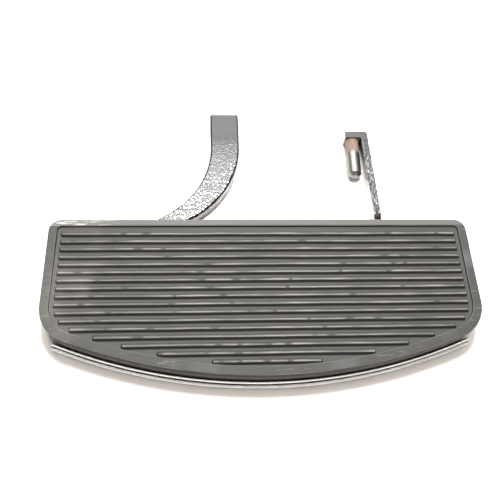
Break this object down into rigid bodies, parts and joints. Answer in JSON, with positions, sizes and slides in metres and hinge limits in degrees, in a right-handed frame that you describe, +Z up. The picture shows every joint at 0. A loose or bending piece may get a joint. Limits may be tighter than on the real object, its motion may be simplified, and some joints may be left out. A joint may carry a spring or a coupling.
{
  "type": "motorcycle floorboard",
  "caption": "D-shaped rider footboard with a ribbed rubber pad on a steel pan, a bright trim strip along the outboard rim, and two hinged mounting brackets on which it folds up.",
  "frame": {"origin": "on the plane that the board's rim and both brackets rest on, midway along the board and midway between the outermost point of the trim strip and the cut end of the front bracket", "axes": "+X along the board from the front bracket's side to the rear bracket's side, +Y inboard towards the motorcycle, +Z up out of the ribbed pad"},
  "size_m": [0.363, 0.2618, 0.032],
  "materials": {
    "black_rubber": "moulded, matt, scuffed on the ribs",
    "satin_black_paint": "satin black paint on pressed steel",
    "gloss_black_paint": "gloss black paint with orange peel",
    "bright_chrome": "bright, with black paint in the channel",
    "zinc_steel": "dull zinc plate",
    "bare_steel": "turned bare steel, rusted near the ear",
    "bearing_bronze": "oiled sintered bronze"
  },
  "bodies": {
    "front_bracket": {"front_arm": "gloss_black_paint", "front_bushing": "bearing_bronze"},
    "board": {"rubber_pad": "black_rubber", "board_pan": "satin_black_paint", "trim_strip": "bright_chrome", "trim_washers": "zinc_steel", "trim_nuts": "zinc_steel", "front_hinge": "satin_black_paint", "rear_hinge": "satin_black_paint", "front_hinge_screws": "zinc_steel", "front_pivot_bolt": "zinc_steel", "front_pivot_nut": "zinc_steel", "front_flat_washer": "zinc_steel", "front_spring_washer": "zinc_steel", "rear_hinge_screws": "zinc_steel", "rear_pivot_bolt": "zinc_steel", "rear_pivot_nut": "zinc_steel", "rear_flat_washer": "zinc_steel", "rear_spring_washer": "zinc_steel"},
    "rear_bracket": {"rear_arm": "gloss_black_paint", "rear_bushing": "bearing_bronze", "mounting_stud": "bare_steel"}
  },
  "joints": [
    {"name": "board_fold", "type": "hinge", "parent": "front_bracket", "child": "board", "pos_m": [-0.08, 0.00135, 0.0105], "axis": [-1, 0, 0], "range_deg": [0, 45]},
    {"name": "rear_bracket_pivot", "type": "hinge", "parent": "board", "child": "rear_bracket", "pos_m": [0.1066, 0.00135, 0.0105], "axis": [-1, 0, 0], "range_deg": [-45, 0]}
  ],
  "couplings": [
    {"joint": "rear_bracket_pivot", "follows": "board_fold", "ratio": -1}
  ]
}
